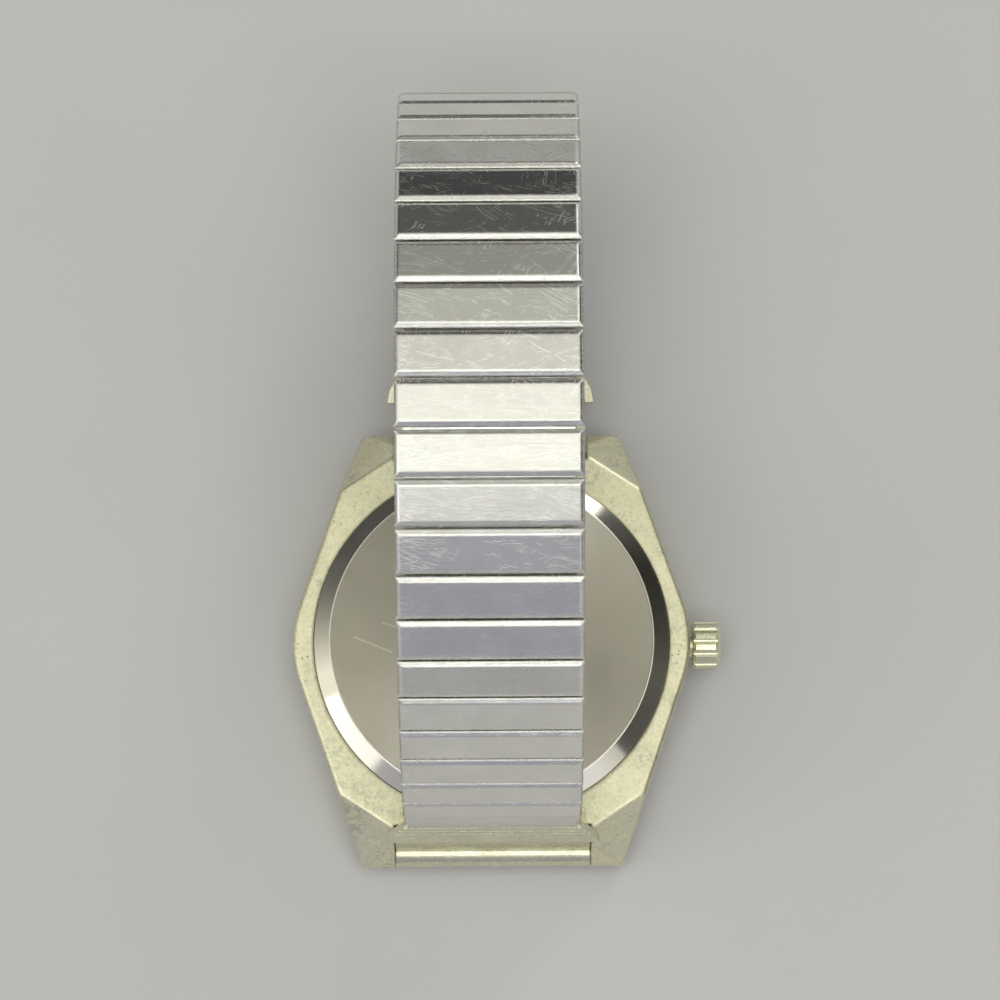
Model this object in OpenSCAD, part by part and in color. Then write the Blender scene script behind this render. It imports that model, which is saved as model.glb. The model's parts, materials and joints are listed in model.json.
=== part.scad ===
// Analog quartz wristwatch with a tonneau case and a steel expansion band.
// It lies on its crystal: +Z points out through the case back, +X to the crown, +Y to 6 o'clock.
// The origin is on the axis of the hands, at the crystal's outer face.

/* [Case] */
// Radius of the opening that takes the case back, round which the case is built
opening_r = 16.4; // [16:0.1:18]
// Metal between that opening and the widest place of the flanks
flank_wall = 1.9; // [1.7:0.1:3.5]
// Wall between that opening and the space for the band's ends
opening_wall = 0.7; // [0.6:0.05:0.75]
// Play of the barrels to that wall
barrel_space = 0.65; // [0.6:0.05:1.5]
// Angle at which the flanks taper towards the lugs
flank_taper = 19; // [14:0.5:22]
// Radius that rounds the middle of each flank
flank_r = 11; // [6:0.5:14]
// Height of the case's front face over the crystal's outer face
case_front = 1.3; // [1.1:0.05:1.6]
// Height of the case's flat back over the crystal's outer face
back_z = 7.6; // [7.4:0.1:8.4]
// Width of the bevel round the front of the case
front_bevel = 0.6; // [0.3:0.05:0.9]
// Width of the bevel round the flat back
back_bevel = 0.25; // [0.1:0.05:0.4]
// Clear width between the lugs
lug_gap = 18; // [17.6:0.1:18.6]
// Distance from a lug's tip to its spring bar
bar_inset = 1.2; // [1.1:0.05:1.35]
// Height of the spring bars
bar_z = 2.7; // [2.6:0.05:2.9]
// Depth of the holes that the spring bars' pins sit in
lug_hole_depth = 1.3; // [1:0.1:1.8]
// How far the flat back reaches past the wall along the lug's inner edge
facet_start = 0.3; // [0.1:0.1:0.9]
// Direction of the corner facets' upper edge
facet_turn = 33.5; // [28:0.5:38]
// Slope of the corner facets
facet_slope = 46; // [40:1:50]
// Slope of the small facet at each lug's tip
tip_slope = 60; // [55:1:70]
// Height of the lug tip's back edge
tip_z = 3.9; // [3.7:0.1:4.2]
// Height of the lug tip's front edge
tip_front = 1.75; // [1.5:0.05:1.9]

/* [Bezel and crystal] */
// How much smaller the crystal is than the case back's opening, on the radius
crystal_step = 1.4; // [1.3:0.05:1.6]
// Thickness of the crystal
crystal_t = 1.5; // [1.3:0.05:1.7]
// Radial thickness of the crystal gasket
crystal_gasket_t = 0.4; // [0.3:0.05:0.5]
// Height of the bezel's rim over the crystal's outer face
bezel_z = 0.3; // [0.2:0.05:0.5]
// How far the bezel reaches past the case back's opening
bezel_over = 0.5; // [0.2:0.05:0.6]
// How far the bezel slopes in towards its rim
bezel_slope = 0.9; // [0.6:0.05:1]
// Width of the ledge under the crystal
crystal_ledge = 1.1; // [1:0.05:1.4]

/* [Case back] */
// Radial play of the case back in its opening
cover_play = 0.06; // [0.04:0.01:0.1]
// Width of the slope between the opening and the raised disc
shoulder_w = 1.6; // [1.4:0.05:2.1]
// Height of the raised disc over the case's flat back
disc_rise = 1.15; // [0.9:0.05:1.4]
// Thickness of the case back's sheet
cover_t = 0.7; // [0.5:0.05:0.8]
// Depth of the seat under the flat back
seat_depth = 1.1; // [1:0.05:1.2]
// Thickness of the back gasket
back_gasket_t = 0.25; // [0.2:0.05:0.3]
// Length of the snap lip under the flange
lip_l = 0.9; // [0.7:0.05:1]

/* [Crown] */
// Radius of the crown over its ribs
crown_r = 2.2; // [2:0.05:2.4]
// Length of the crown
crown_l = 2.6; // [2.4:0.1:3]
// Number of flutes round the crown
flute_count = 12; // [8:1:16]
// Radius of each flute
flute_r = 0.34; // [0.26:0.02:0.36]
// Gap between the flank and the crown
crown_gap = 0.3; // [0.25:0.05:0.4]
// Height of the stem's axis
stem_z = 4.45; // [4.42:0.01:4.48]
// Radius of the stem
stem_r = 0.45; // [0.42:0.01:0.46]
// How far the crown pulls out to set the hands
crown_pull = 1; // [0.8:0.05:1]
// Outer radius of the crown tube
tube_r = 1.1; // [1.05:0.01:1.15]

/* [Dial and hands] */
// Free height between crystal and dial
hand_room = 1.6; // [1.6:0.02:1.7]
// Thickness of the dial
dial_t = 0.4; // [0.35:0.05:0.45]
// Height of the applied hour markers
marker_h = 0.22; // [0.15:0.01:0.25]
// Length of an hour marker
marker_l = 2.2; // [1.8:0.1:2.6]
// How far the hour hand's tip stays inside the dial's opening
hour_hand_short = 6.3; // [5.4:0.1:7.4]
// How far the minute hand's tip stays inside it
minute_hand_short = 2.5; // [1.5:0.1:3.9]
// How far the seconds hand's tip stays inside it
second_hand_short = 1.6; // [0.9:0.1:2.9]
// Hour, minute and second that the hands show
shown_time = [10, 9, 36];

/* [Movement] */
// Radius of the main plate
plate_r = 12.6; // [12.5:0.02:12.7]
// Thickness of the main plate
plate_t = 1.7; // [1.68:0.01:1.74]
// Depth of the recess for the wheels under the dial
motion_room = 0.72; // [0.7:0.01:0.74]
// Height between the main plate and the train bridge
train_room = 1.3; // [1.28:0.01:1.34]
// Thickness of the train bridge
bridge_t = 0.4; // [0.35:0.05:0.45]
// Radius of the battery
battery_r = 3.4; // [3.2:0.05:3.45]
// Height of the battery
battery_h = 2.6; // [2.3:0.05:2.65]
// Radius of the wound coil
coil_r = 1.1; // [0.9:0.05:1.15]
// Length of the wound coil
coil_l = 7.5; // [6.5:0.1:8]

/* [Band] */
// Width of the band
band_w = 16; // [15:0.1:16.4]
// Number of caps along the band
cap_count = 31; // [31:1:32]
// Height of the band over its middle plane, on the outer and the inner side
half_t = 1.1; // [1.05:0.01:1.2]
// Gap between two caps at rest
cap_gap = 0.12; // [0.1:0.01:0.2]
// Gap between the caps' floor and the middle plane, and the same under it
plane_gap = 0.16; // [0.16:0.01:0.18]
// Width of the caps' bevelled border
cap_bevel_w = 0.42; // [0.3:0.02:0.5]
// Height of the caps' bevelled border
cap_bevel_h = 0.26; // [0.18:0.02:0.28]
// Thickness of the caps' end walls
cap_wall = 0.25; // [0.2:0.01:0.28]
// Thickness of the sleeves' sheet at floor and roof
sheet_t = 0.16; // [0.13:0.01:0.18]
// Length of a lower sleeve
sleeve_l = 3.6; // [3.4:0.05:3.65]
// How much narrower a lower sleeve is than a cap, on each side
sleeve_inset = 0.7; // [0.65:0.01:0.8]
// Width of the staples' strip
staple_w = 0.4; // [0.3:0.02:0.44]
// Thickness of the staples' strip
staple_t = 0.26; // [0.2:0.01:0.28]
// Length of a staple's legs
staple_leg = 3; // [2.4:0.1:3.2]
// Thickness of the leaf springs
leaf_t = 0.12; // [0.1:0.01:0.14]
// Width of the leaf springs
leaf_w = 1.3; // [1:0.05:1.5]
// How far each cap can move away from the next one
gap_travel = 1.2; // [0.8:0.05:1.3]

/* [Loop of the band] */
// Direction of the band where it leaves the 12 o'clock end
loop_start = 90.2; // [88:0.2:92]
// Direction of the band where the first arc ends
loop_turn_1 = 42.6; // [41:0.2:46]
// Direction of the band where the second arc ends
loop_turn_2 = -66.4; // [-70:0.2:-64]
// Radius of the first arc
loop_r1 = 39.1; // [38.4:0.1:40]

/* [Band ends] */
// Direction in which the 12 o'clock end stands
end_lean = 85.4; // [84.5:0.1:86]
// Length from the spring bar to the first cap
end_l = 8.65; // [8.5:0.05:9]
// Radius of the barrel round the spring bar
barrel_r = 1.25; // [1.15:0.01:1.3]
// Gap between the barrel and each lug
barrel_play = 0.1; // [0.08:0.01:0.15]
// How far the cover sheet reaches over each lug
ear_over = 0.7; // [0.4:0.05:0.9]
// Distance from the spring bar to the cover sheet's wide edge
ear_s = 4.6; // [4.5:0.05:4.8]

/* [Hidden] */
$fn = 72;

// Small play between pieces that are pressed or laid together
fit = 0.02;
// Radial play of a turning shaft in its hole
run = 0.03;

// Heights of the layers, from the crystal to the case back
dial_face = crystal_t + hand_room;
dial_back = dial_face + dial_t;
plate_z = dial_back + fit;
recess_z = dial_back + motion_room;
plate_top = dial_back + plate_t;
bridge_z = plate_top + train_room;
bridge_top = bridge_z + bridge_t;
disc_z = back_z + disc_rise;
cover_under = disc_z - cover_t;
seat_z = back_z - seat_depth;
flange_z = seat_z + back_gasket_t;
end_wall = opening_r + opening_wall;
crystal_r = opening_r - crystal_step;
bezel_r = opening_r + bezel_over;
disc_r = opening_r - shoulder_w;
dial_opening_r = crystal_r - crystal_ledge;
ear_w = lug_gap + 2 * ear_over;

// Radii round the movement
dial_r = dial_opening_r + 0.9;
bore_r = dial_r + 0.1;
lip_in = bore_r + 0.08;
lip_out = lip_in + 0.45;
lip_bore_r = lip_out + 0.06;

// Spring bars
bar_y = end_wall + barrel_space + barrel_r;
bar_r = 0.75;
bar_bore_r = 0.5;
pin_in = 1.6;
bar_pin_r = 0.4;
bar_play = 0.05;

// Half width of the case over the flanks, and half its length over the lugs
flank_x = opening_r + flank_wall;
tip_y = bar_y + bar_inset;

// Crown and stem along X
crown_x = flank_x + crown_gap;
tube_end = crown_x + 1.3;
socket_r = tube_r + 0.3;
crown_hub_x = tube_end + 0.3;
stem_end = crown_hub_x + 0.6;
groove_x = 9.9;
groove_w = 0.5;
square_x = 8.6;
stem_start = 5.5;
clutch_x = 5.9;
clutch_l = 1.2;
lever_arm = 2.6;
lever_pivot = [groove_x + crown_pull / 2, lever_arm];
lever_half = asin(crown_pull / 2 / lever_arm);
lever_z = plate_top + 0.03;
lever_t = 0.22;

// Wheels: tooth counts and modules of the going train and of the motion work
rotor_pinion_n = 10;
fifth_n = 60;
fifth_pinion_n = 8;
fourth_n = 40;
fourth_pinion_n = 8;
third_n = 60;
third_pinion_n = 8;
centre_n = 64;
cannon_n = 12;
minute_n = 36;
minute_pinion_n = 10;
hour_n = 40;
rotor_m = 0.07;
fifth_m = 0.11;
third_m = 0.1;
cannon_m = 0.12;
third_dist = third_m * (fourth_pinion_n + third_n) / 2;
centre_m = 2 * third_dist / (third_pinion_n + centre_n);
fifth_dist = fifth_m * (fifth_pinion_n + fourth_n) / 2;
rotor_dist = rotor_m * (rotor_pinion_n + fifth_n) / 2;
minute_dist = cannon_m * (cannon_n + minute_n) / 2;
hour_m = 2 * minute_dist / (minute_pinion_n + hour_n);

// Axes of the wheels
third_at = third_dist * [cos(260), sin(260)];
fifth_at = fifth_dist * [cos(120), sin(120)];
rotor_at = fifth_at + rotor_dist * [0, 1];
minute_at = minute_dist * [cos(-20), sin(-20)];

// Heights of the wheels over the main plate
wheel_t = 0.12;
centre_h = 0.1;
third_pinion_h = 0.06;
third_h = 0.42;
fourth_pinion_h = 0.36;
fourth_h = 0.68;
fifth_pinion_h = 0.64;
fifth_h = 0.92;
rotor_pinion_h = 0.88;
pinion_t = 0.26;
pivot_r = 0.12;
arbor_r = 0.16;
seconds_r = 0.14;
pipe_in = seconds_r + 0.04;
pipe_out = 0.3;
cannon_out = 0.42;
hour_pipe_in = cannon_out + 0.04;
hour_pipe_out = 0.75;

// Heights of the wheels under the dial, and of the hands
hour_wheel_z = dial_back + 0.08;
minute_wheel_z = hour_wheel_z + 0.28;
hour_hand_z = dial_face - 0.55;
minute_hand_z = hour_hand_z - 0.4;
second_hand_z = minute_hand_z - 0.37;
hand_t = 0.18;

// Parts of the movement beside the train
battery_at = [-7.6, -4];
battery_z = plate_top - 0.7;
clip_post = [-3, -9.3];
clip_z = battery_z + battery_h;
clip_t = 0.18;
stator_z = plate_top + 0.2;
stator_t = 0.4;
rotor_r = 0.65;
core_t = 0.3;
coil_at = [rotor_at[0], 9];
coil_z = stator_z + stator_t + core_t / 2;
pad_x = coil_l / 2 + 1.1;
pillars = [[4.3, 2.6], [-4.6, 1.2], [3.9, -3.9]];
board_posts = [[9.2, -5.2], [2.6, -10.6]];
post_r = 0.7;
screw_r = 0.28;
screw_head_r = 0.55;
screw_head_t = 0.25;

// Band: sizes that follow
sleeve_w = band_w - 2 * sleeve_inset;
staple_x = sleeve_w / 2 + 0.12;
staple_bridge_t = 0.3;
leg_inner = staple_x - staple_leg;
leaf_half = leg_inner - 0.25;
sleeve_wall = 0.25;
cap_floor = plane_gap + sheet_t;
cap_roof = half_t - cap_bevel_h + 0.02;
sleeve_roof = -plane_gap - sheet_t;
sleeve_floor = -half_t + sheet_t;

// Directions and points in the plane of Y and Z
function dir(a) = [cos(a), sin(a)];
function out(a) = [-sin(a), cos(a)];
function at(f, u, w) = f[0] + u * dir(f[1]) + w * out(f[1]);
function turn(p, a) = [p[0] * cos(a) - p[1] * sin(a), p[0] * sin(a) + p[1] * cos(a)];

// Ends of the band's middle line, where the end pieces stop
end_drop = 0.35;
bar_12 = [-bar_y, bar_z];
bar_6 = [bar_y, bar_z];
loop_from = at([bar_12, end_lean], end_l, -end_drop - half_t);
loop_to = at([bar_6, 180], -end_l, -end_drop - half_t);

// The middle line is three arcs. The first radius is given, the others close the loop.
function arc_step(a, b) = [sin(a) - sin(b), cos(b) - cos(a)];
function cross2(p, q) = p[0] * q[1] - p[1] * q[0];
turns = [loop_start, loop_turn_1, loop_turn_2, -180];
steps = [for (i = [0 : 2]) arc_step(turns[i], turns[i + 1])];
rest_way = loop_to - loop_from - loop_r1 * steps[0];
loop_r2 = cross2(rest_way, steps[2]) / cross2(steps[1], steps[2]);
loop_r3 = cross2(steps[1], rest_way) / cross2(steps[1], steps[2]);
radii = [loop_r1, loop_r2, loop_r3];
arc_l = [for (i = [0 : 2]) radii[i] * (turns[i] - turns[i + 1]) * PI / 180];
loop_l = arc_l[0] + arc_l[1] + arc_l[2];
pitch = loop_l / cap_count;
arc_from = [
    loop_from,
    loop_from + radii[0] * steps[0],
    loop_from + radii[0] * steps[0] + radii[1] * steps[1]
];
function arc_at(s) = s < arc_l[0] ? 0 : s < arc_l[0] + arc_l[1] ? 1 : 2;
function arc_way(s, k) = k == 0 ? s : k == 1 ? s - arc_l[0] : s - arc_l[0] - arc_l[1];
function heading(s) = let (k = arc_at(s)) turns[k] - arc_way(s, k) / radii[k] * 180 / PI;
function loop_point(s) =
    let (k = arc_at(s)) arc_from[k] + radii[k] * arc_step(turns[k], heading(s));

// Joints between caps lie on the middle line, and each cap lies along its chord.
joint = [for (i = [0 : cap_count]) loop_point(min(i * pitch, loop_l - 0.0001))];
function cap_way(i) = joint[i] - joint[i - 1];
function cap_turn(i) = atan2(cap_way(i)[1], cap_way(i)[0]);
function cap_frame(i) = [(joint[i] + joint[i - 1]) / 2, cap_turn(i)];
function near_turn(a, b) = a > b + 180 ? a - 360 : a < b - 180 ? a + 360 : a;
function sleeve_turn(i) =
    let (a = i > 0 ? cap_turn(i) : end_lean, b = i < cap_count ? cap_turn(i + 1) : 180)
    (near_turn(a, b) + b) / 2;
function sleeve_frame(i) = [joint[i], sleeve_turn(i)];
cap_l = min([for (i = [1 : cap_count]) norm(cap_way(i))]) - cap_gap;

function link_name(i) = str("link_", i < 10 ? "0" : "", i);

// Colours as they look from a step away
case_colour = "#d8d5b1";
steel = "#b9b9b3";
cap_colour = "#c9c9c2";
dark_steel = "#8e8e8a";
brass = "#c9a75a";
rubber = "#26262a";

// A prism of a profile in Y and Z, from x0 to x1
module along_x(points, x0, x1) {
    translate([x0, 0, 0])
    rotate([90, 0, 90])
    linear_extrude(x1 - x0)
    polygon(points);
}

// A prism of a profile in X and Z, centred on Y
module along_y(points, l) {
    rotate([90, 0, 0])
    linear_extrude(l, center = true)
    polygon(points);
}

// A round bar along X
module bar_x(r, x0, x1) {
    translate([x0, 0, 0])
    rotate([0, 90, 0])
    cylinder(r = r, h = x1 - x0);
}

// A ring with flat ends
module ring(r_in, r_out, h) {
    difference() {
        cylinder(r = r_out, h = h);
        translate([0, 0, -1])
        cylinder(r = r_in, h = h + 2);
    }
}

// Places local Y along the band and local Z away from the wrist
module in_frame(f) {
    translate([0, f[0][0], f[0][1]])
    rotate([f[1], 0, 0])
    children();
}

module both_sides(v) {
    children();
    mirror(v)
    children();
}

module four_corners() {
    both_sides([1, 0, 0])
    both_sides([0, 1, 0])
    children();
}

// A flat strip with round ends between two points
module strip(p, q, r) {
    way = q - p;
    translate(p) {
        circle(r);
        rotate(atan2(way[1], way[0]))
        translate([0, -r])
        square([norm(way), 2 * r]);
    }
    translate(q)
    circle(r);
}

// Outline of the case, drawn in by d
function flank_arc(d) = [
    for (a = [-flank_taper : flank_taper / 4 : flank_taper + 0.01])
        [flank_x - flank_r + (flank_r - d) * cos(a), (flank_r - d) * sin(a)]
];
function tip_x(d) =
    let (e = flank_arc(d)[8])
    e[0] - (tip_y - d - e[1]) * tan(flank_taper);
function half_outline(d) = [
    [tip_x(d), -tip_y + d],
    each flank_arc(d),
    [tip_x(d), tip_y - d]
];
function outline(d) =
    let (h = half_outline(d))
    [each h, for (i = [len(h) - 1 : -1 : 0]) [-h[i][0], h[i][1]]];

module case_blank() {
    hull() {
        translate([0, 0, case_front + front_bevel])
        linear_extrude(back_z - case_front - front_bevel - back_bevel)
        polygon(outline(0));
        translate([0, 0, case_front])
        linear_extrude(1)
        polygon(outline(front_bevel));
        translate([0, 0, back_z - 1])
        linear_extrude(1)
        polygon(outline(back_bevel));
    }
}

// Planes that take the back down to the lug tips
module corner_facets() {
    four_corners()
    translate([lug_gap / 2, end_wall + facet_start, back_z])
    rotate(-facet_turn)
    along_x([
        [0, 0], [tip_y, -tip_y * tan(facet_slope)], [tip_y, back_z], [0, back_z]
    ], -tip_y, tip_y);
    both_sides([0, 1, 0])
    along_x([
        [tip_y + 1, tip_z - tan(tip_slope)],
        [tip_y + 1, back_z + 2],
        [tip_y - (back_z + 2 - tip_z) / tan(tip_slope), back_z + 2]
    ], -flank_x, flank_x);
}

// Slopes on the front of the lugs, outside the bezel
module front_slopes() {
    both_sides([0, 1, 0])
    along_x([
        [bezel_r - 4, case_front],
        [tip_y + 1, tip_front],
        [tip_y + 1, 0],
        [bezel_r - 4, 0]
    ], -flank_x, flank_x);
}

module case_bores() {
    translate([0, 0, -1])
    cylinder(r = crystal_r + crystal_gasket_t, h = crystal_t + 1);
    cylinder(r = dial_opening_r, h = back_z + 1);
    translate([0, 0, dial_face])
    cylinder(r = bore_r, h = back_z);
    translate([0, 0, flange_z - lip_l - 0.1])
    cylinder(r = lip_bore_r, h = back_z);
    translate([0, 0, seat_z])
    cylinder(r = opening_r, h = back_z);
    translate([0, 0, stem_z]) {
        bar_x(tube_r, bore_r - 1, flank_x + 1);
        bar_x(crown_r + 0.3, flank_x - 0.25, flank_x + 1);
    }
    both_sides([1, 0, 0])
    both_sides([0, 1, 0])
    translate([0, bar_y, bar_z])
    bar_x(bar_pin_r + fit, lug_gap / 2 - 0.5, lug_gap / 2 + lug_hole_depth);
}

module crown_tube() {
    translate([0, 0, stem_z])
    difference() {
        bar_x(tube_r - fit, bore_r + 0.2, tube_end);
        bar_x(stem_r + 0.06, bore_r, tube_end + 1);
    }
}

module case_body() {
    color(case_colour)
    difference() {
        union() {
            difference() {
                case_blank();
                front_slopes();
            }
            translate([0, 0, bezel_z])
            cylinder(r1 = bezel_r - bezel_slope, r2 = bezel_r, h = case_front - bezel_z + 0.2);
        }
        both_sides([0, 1, 0])
        translate([-lug_gap / 2, end_wall, 0])
        cube([lug_gap, tip_y, back_z + 1]);
        corner_facets();
        case_bores();
    }
    color(steel)
    crown_tube();
}

module case_back() {
    cover_r = opening_r - cover_play;
    step = 0.12;
    color(steel)
    rotate_extrude()
    polygon([
        [0, cover_under],
        [lip_in, cover_under],
        [lip_in, flange_z - lip_l],
        [lip_out, flange_z - lip_l],
        [lip_out, flange_z],
        [cover_r, flange_z],
        [cover_r, back_z + step / 2],
        [disc_r + step, disc_z - step],
        [disc_r, disc_z - step],
        [disc_r, disc_z],
        [0, disc_z]
    ]);
}

// Seals under the case back's flange and round the crystal
module gaskets() {
    color(rubber) {
        translate([0, 0, seat_z])
        ring(lip_bore_r + 0.1, opening_r - 0.1, back_gasket_t);
        translate([0, 0, bezel_z + 0.1])
        ring(crystal_r, crystal_r + crystal_gasket_t, crystal_t - bezel_z - 0.1);
    }
}

module crystal() {
    edge = 0.2;
    color("#dfe9ec", 0.4)
    rotate_extrude()
    polygon([
        [0, 0],
        [crystal_r - edge, 0],
        [crystal_r, edge],
        [crystal_r, crystal_t],
        [0, crystal_t]
    ]);
}

module stem() {
    side = 1.2 * stem_r;
    color(steel)
    translate([0, 0, stem_z])
    difference() {
        union() {
            bar_x(stem_r, square_x, stem_end);
            translate([stem_start, -side / 2, -side / 2])
            cube([square_x - stem_start, side, side]);
        }
        translate([groove_x - groove_w / 2, 0, 0])
        rotate([0, 90, 0])
        ring(stem_r / 2, stem_r + 1, groove_w);
    }
}

// Crown, its seal and the stem that is fixed in it
module crown() {
    rim = 0.25;
    ends = crown_x + crown_l;
    color(case_colour)
    translate([0, 0, stem_z])
    difference() {
        rotate([0, 90, 0])
        rotate_extrude()
        polygon([
            [0, crown_x],
            [crown_r - rim, crown_x],
            [crown_r, crown_x + rim],
            [crown_r, ends - 2 * rim],
            [crown_r - rim, ends - rim],
            [crown_r - 2.5 * rim, ends],
            [0, ends]
        ]);
        bar_x(socket_r, crown_x - 1, crown_hub_x);
        bar_x(stem_r + fit, crown_x, stem_end + fit);
        for (i = [0 : flute_count - 1])
            rotate([i * 360 / flute_count, 0, 0])
            translate([0, 0, crown_r + flute_r / 3])
            bar_x(flute_r, crown_x - 1, ends + 1);
    }
    color(rubber)
    translate([crown_x + 0.5, 0, stem_z])
    rotate([0, 90, 0])
    ring(tube_r + fit, socket_r - fit, 0.5);
    stem();
}

module clutch_pinion() {
    teeth = 14;
    tip = 0.8;
    side = 1.2 * stem_r + 0.06;
    color(dark_steel)
    translate([0, 0, stem_z])
    difference() {
        bar_x(tip, clutch_x, clutch_x + clutch_l);
        translate([clutch_x - 1, -side / 2, -side / 2])
        cube([clutch_l + 2, side, side]);
        translate([clutch_x + 0.6, 0, 0])
        rotate([0, 90, 0])
        ring(tip - 0.2, tip + 1, 0.3);
        for (i = [0 : teeth - 1])
            rotate([(i + 0.5) * 360 / teeth, 0, 0])
            translate([clutch_x - 0.1, -0.08, tip - 0.25])
            cube([0.4, 0.16, 1]);
    }
}

module setting_lever() {
    pin_r = 0.2;
    pin = turn([0, -lever_arm], -lever_half);
    tail = turn([1.1, 1], -lever_half);
    color(steel)
    translate([lever_pivot[0], lever_pivot[1], 0])
    difference() {
        union() {
            translate([0, 0, lever_z])
            linear_extrude(lever_t) {
                strip([0, 0], pin, 0.42);
                strip([0, 0], tail, 0.42);
            }
            translate([pin[0], pin[1], stem_z + stem_r / 2 + 0.04])
            cylinder(r = pin_r, h = lever_z - stem_z - stem_r / 2);
        }
        translate([0, 0, lever_z - 1])
        cylinder(r = pivot_r + 0.1 + run, h = 3);
    }
}

// Hour markers stand on the dial's front, which faces -Z
module dial() {
    marker_w = 0.7;
    marker_r = dial_opening_r - 1.2;
    color("#efeee6")
    difference() {
        translate([0, 0, dial_face])
        cylinder(r = dial_r, h = dial_t);
        translate([0, 0, dial_face - 1])
        cylinder(r = hour_pipe_out + 0.1, h = 3);
    }
    color(case_colour)
    for (i = [0 : 11]) {
        w = i == 0 ? 2 * marker_w : marker_w;
        rotate(i * 30)
        translate([-w / 2, -marker_r, dial_face - marker_h])
        cube([w, marker_l, marker_h + 0.05]);
    }
    color(brass)
    for (p = [[-10, 5.5], [10, -2.6]])
        translate([p[0], p[1], dial_back - 0.05])
        cylinder(r = 0.35, h = 0.85);
}

// A hand that points to -Y: outline, boss and hole
module hand(l, w, tail, boss, hole) {
    difference() {
        union() {
            linear_extrude(hand_t)
            polygon([
                [-w / 2, tail], [w / 2, tail],
                [w / 2, 0], [w * 0.3, -l + w], [0, -l], [-w * 0.3, -l + w], [-w / 2, 0]
            ]);
            cylinder(r = boss, h = hand_t);
        }
        translate([0, 0, -1])
        cylinder(r = hole, h = 3);
    }
}

hour_angle = (shown_time[0] + shown_time[1] / 60) * 30;
minute_angle = (shown_time[1] + shown_time[2] / 60) * 6;
second_angle = shown_time[2] * 6;

module hour_hand() {
    color(case_colour)
    translate([0, 0, hour_hand_z])
    rotate(hour_angle)
    hand(dial_opening_r - hour_hand_short, 1.3, 1.6, 1.15, hour_pipe_out);
}

module minute_hand() {
    color(case_colour)
    translate([0, 0, minute_hand_z])
    rotate(minute_angle)
    hand(dial_opening_r - minute_hand_short, 1, 1.8, 0.85, cannon_out);
}

module second_hand() {
    color(case_colour)
    translate([0, 0, second_hand_z])
    rotate(second_angle)
    hand(dial_opening_r - second_hand_short, 0.3, 3.4, 0.55, seconds_r);
}

// A toothed disc whose first tooth points to the given angle
function tooth(n, m, a) = [
    for (k = [[-0.34, -1.15], [-0.13, 0.85], [0.13, 0.85], [0.34, -1.15]])
        (n * m / 2 + k[1] * m) * [cos(a + k[0] * 360 / n), sin(a + k[0] * 360 / n)]
];
module toothed(n, m, first, t) {
    linear_extrude(t)
    polygon([for (i = [0 : n - 1]) each tooth(n, m, first + i * 360 / n)]);
}

// A wheel with a rim, four arms and a hub
module wheel(n, m, first, t) {
    rim_r = n * m / 2 - 4 * m;
    hub_r = 0.24 * rim_r;
    difference() {
        toothed(n, m, first, t);
        for (i = [0 : 3])
            rotate(i * 90 + 45)
            translate([(rim_r + hub_r) / 2, 0, -1])
            cylinder(r = (rim_r - hub_r) / 2.1, h = t + 2);
    }
}

function bearing(p, q) = atan2(q[1] - p[1], q[0] - p[0]);

module rotor() {
    way = bearing(rotor_at, fifth_at);
    color(dark_steel)
    translate([rotor_at[0], rotor_at[1], plate_top]) {
        translate([0, 0, stator_z - plate_top - 0.1])
        cylinder(r = rotor_r, h = stator_t + 0.2);
        translate([0, 0, rotor_pinion_h])
        toothed(rotor_pinion_n, rotor_m, way, pinion_t);
        translate([0, 0, -0.3])
        cylinder(r = pivot_r, h = train_room + 0.5);
    }
}

module fifth_wheel() {
    color(brass)
    translate([fifth_at[0], fifth_at[1], plate_top]) {
        translate([0, 0, fifth_h])
        wheel(fifth_n, rotor_m, bearing(fifth_at, rotor_at) + 180 / fifth_n, wheel_t);
        translate([0, 0, fifth_pinion_h])
        toothed(fifth_pinion_n, fifth_m, bearing(fifth_at, [0, 0]), fifth_h - fifth_pinion_h);
        translate([0, 0, -0.3])
        cylinder(r = pivot_r, h = train_room + 0.5);
    }
}

module fourth_wheel() {
    color(brass)
    translate([0, 0, plate_top]) {
        translate([0, 0, fourth_h])
        wheel(fourth_n, fifth_m, bearing([0, 0], fifth_at) + 180 / fourth_n, wheel_t);
        translate([0, 0, fourth_pinion_h])
        toothed(fourth_pinion_n, third_m, bearing([0, 0], third_at), fourth_h - fourth_pinion_h);
        translate([0, 0, second_hand_z - plate_top])
        cylinder(r = seconds_r, h = plate_top - second_hand_z + train_room + 0.2);
    }
}

module third_wheel() {
    color(brass)
    translate([third_at[0], third_at[1], plate_top]) {
        translate([0, 0, third_h])
        wheel(third_n, third_m, bearing(third_at, [0, 0]) + 180 / third_n, wheel_t);
        translate([0, 0, third_pinion_h])
        toothed(third_pinion_n, centre_m, bearing(third_at, [0, 0]), third_h - third_pinion_h);
        translate([0, 0, -0.3])
        cylinder(r = pivot_r, h = train_room + 0.5);
    }
}

module centre_wheel() {
    low = minute_hand_z;
    color(brass)
    difference() {
        union() {
            translate([0, 0, plate_top + centre_h])
            wheel(centre_n, centre_m, bearing([0, 0], third_at) + 180 / centre_n, wheel_t);
            translate([0, 0, dial_face])
            cylinder(r = pipe_out, h = plate_top + centre_h - dial_face);
        }
        translate([0, 0, low])
        cylinder(r = pipe_in, h = plate_top);
    }
    color(dark_steel)
    difference() {
        union() {
            translate([0, 0, low])
            cylinder(r = cannon_out, h = minute_wheel_z - low);
            translate([0, 0, minute_wheel_z])
            toothed(cannon_n, cannon_m, bearing([0, 0], minute_at), 0.3);
        }
        translate([0, 0, dial_face])
        cylinder(r = pipe_out, h = plate_top);
        translate([0, 0, low - 1])
        cylinder(r = pipe_in, h = plate_top);
    }
}

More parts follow.
